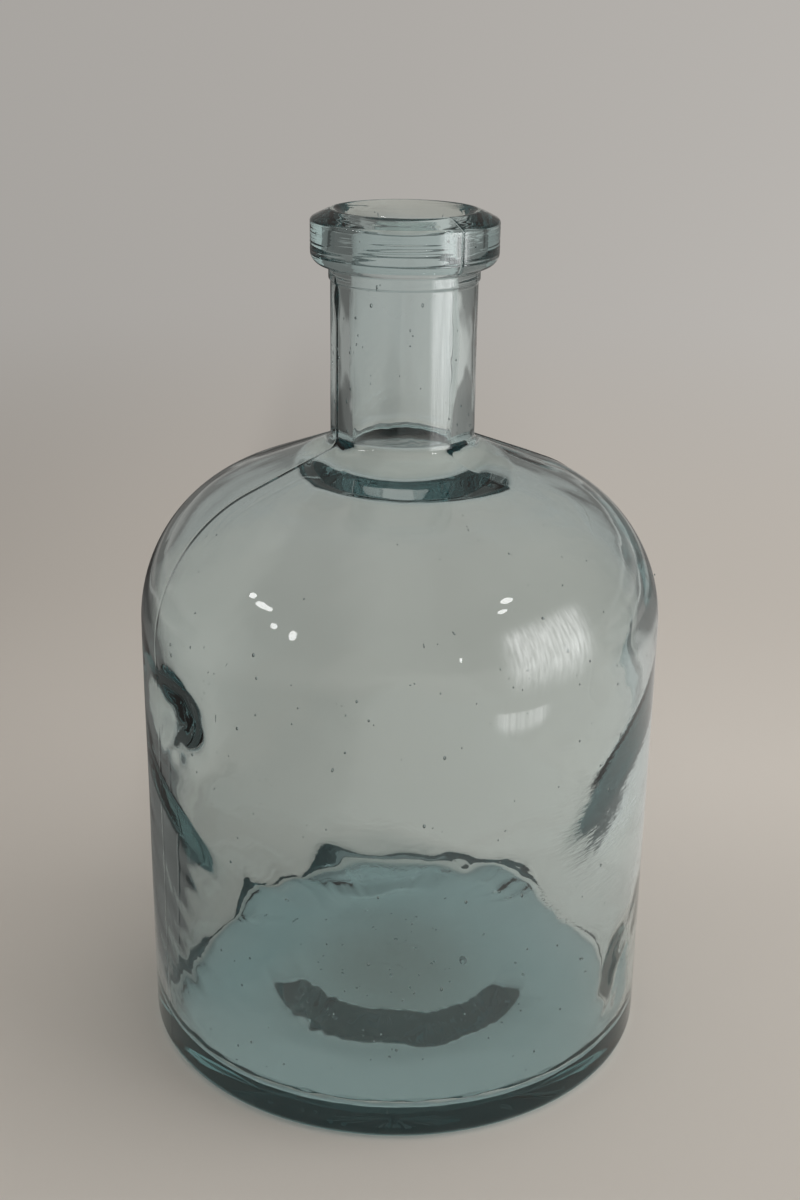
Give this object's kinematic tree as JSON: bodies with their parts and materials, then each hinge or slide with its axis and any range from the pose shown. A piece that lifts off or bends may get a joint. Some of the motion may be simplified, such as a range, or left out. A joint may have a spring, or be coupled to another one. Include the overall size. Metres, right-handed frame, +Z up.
{
  "type": "bottle vase",
  "caption": "Thick sea-green glass bottle vase with a cylindrical body, round shoulder, straight neck and heavy lip ring, for stems and branches.",
  "frame": {"origin": "middle of the foot, on the surface that the vase stands on", "axes": "+Z up along the axis of the bottle; the picture looks along +Y from the -Y side"},
  "size_m": [0.172, 0.172, 0.281],
  "materials": {
    "glass": "clear gloss, pale sea green"
  },
  "bodies": {
    "root": {"bottle_body": "glass", "lip_collar": "glass"}
  },
  "joints": []
}
